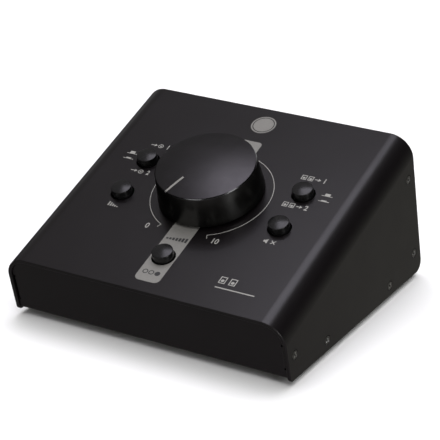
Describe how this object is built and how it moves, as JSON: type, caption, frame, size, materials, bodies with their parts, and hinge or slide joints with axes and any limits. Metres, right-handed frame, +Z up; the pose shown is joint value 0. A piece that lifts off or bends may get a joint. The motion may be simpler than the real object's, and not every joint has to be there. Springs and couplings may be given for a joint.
{
  "type": "studio monitor controller",
  "caption": "Desktop monitor controller: sloping folded metal case, large level knob with a pointer, latching push buttons and a leaning rear wall of jack sockets.",
  "frame": {"origin": "under the middle of the object, on the plane that the four feet stand on", "axes": "+X to the right seen from the front, +Y to the rear, +Z up"},
  "size_m": [0.16, 0.1554, 0.0874],
  "materials": {
    "cover_paint": "fine satin powder coat, charcoal",
    "tray_paint": "satin powder coat, black",
    "black_screw": "blackened, satin",
    "foot_rubber": "matt",
    "knob_metal": "blasted and anodised, dark grey",
    "pointer_plastic": "pale insert",
    "cap_plastic": "satin, black",
    "black_plastic": "moulded, black",
    "steel": "nickel plated",
    "board_laminate": "green solder mask over glass laminate",
    "standoff_plastic": "natural nylon",
    "ribbon_plastic": "grey"
  },
  "bodies": {
    "housing": {"cover": "cover_paint", "chassis": "tray_paint", "side_screw_left_1": "black_screw", "side_screw_left_2": "black_screw", "side_screw_left_3": "black_screw", "side_screw_left_4": "black_screw", "side_screw_left_5": "black_screw", "side_screw_right_1": "black_screw", "side_screw_right_2": "black_screw", "side_screw_right_3": "black_screw", "side_screw_right_4": "black_screw", "side_screw_right_5": "black_screw", "foot_front_left": "foot_rubber", "foot_front_right": "foot_rubber", "foot_rear_left": "foot_rubber", "foot_rear_right": "foot_rubber", "pot_body": "steel", "pot_nut": "steel", "switch_input": "steel", "switch_dim": "steel", "switch_mono": "steel", "switch_monitor": "steel", "switch_mute": "steel", "control_board": "board_laminate", "board_standoff_1": "standoff_plastic", "board_standoff_2": "standoff_plastic", "board_standoff_3": "standoff_plastic", "board_standoff_4": "standoff_plastic", "jack_output_1_left": "black_plastic", "jack_output_1_right": "black_plastic", "jack_output_2_left": "black_plastic", "jack_output_2_right": "black_plastic", "jack_input_1_left": "black_plastic", "jack_input_1_right": "black_plastic", "jack_input_2_left": "black_plastic", "jack_input_2_right": "black_plastic", "jack_nut_output_1_left": "steel", "jack_nut_output_1_right": "steel", "jack_nut_output_2_left": "steel", "jack_nut_output_2_right": "steel", "jack_nut_input_1_left": "steel", "jack_nut_input_1_right": "steel", "jack_nut_input_2_left": "steel", "jack_nut_input_2_right": "steel", "jack_board": "board_laminate", "ribbon_cable": "ribbon_plastic"},
    "knob": {"knob": "knob_metal", "knob_pointer": "pointer_plastic", "knob_set_screw": "black_screw", "pot_shaft": "steel"},
    "button_input": {"button_input": "cap_plastic", "plunger_input": "black_plastic"},
    "button_dim": {"button_dim": "cap_plastic", "plunger_dim": "black_plastic"},
    "button_mono": {"button_mono": "cap_plastic", "plunger_mono": "black_plastic"},
    "button_monitor": {"button_monitor": "cap_plastic", "plunger_monitor": "black_plastic"},
    "button_mute": {"button_mute": "cap_plastic", "plunger_mute": "black_plastic"}
  },
  "joints": [
    {"name": "knob_turn", "type": "hinge", "parent": "housing", "child": "knob", "pos_m": [0, -0.00676, 0.06147], "axis": [0, 0.3343, -0.9425], "range_deg": [0, 315]},
    {"name": "input_press", "type": "slide", "parent": "housing", "child": "button_input", "axis": [0, 0.3343, -0.9425], "range_m": [0, 0.0028], "stiffness_N_per_m": 400, "springref_m": -0.0015},
    {"name": "dim_press", "type": "slide", "parent": "housing", "child": "button_dim", "axis": [0, 0.3343, -0.9425], "range_m": [0, 0.0028], "stiffness_N_per_m": 400, "springref_m": -0.0015},
    {"name": "mono_press", "type": "slide", "parent": "housing", "child": "button_mono", "axis": [0, 0.3343, -0.9425], "range_m": [0, 0.0028], "stiffness_N_per_m": 400, "springref_m": -0.0015},
    {"name": "monitor_press", "type": "slide", "parent": "housing", "child": "button_monitor", "axis": [0, 0.3343, -0.9425], "range_m": [0, 0.0028], "stiffness_N_per_m": 400, "springref_m": -0.0015},
    {"name": "mute_press", "type": "slide", "parent": "housing", "child": "button_mute", "axis": [0, 0.3343, -0.9425], "range_m": [0, 0.0028], "stiffness_N_per_m": 400, "springref_m": -0.0015}
  ]
}
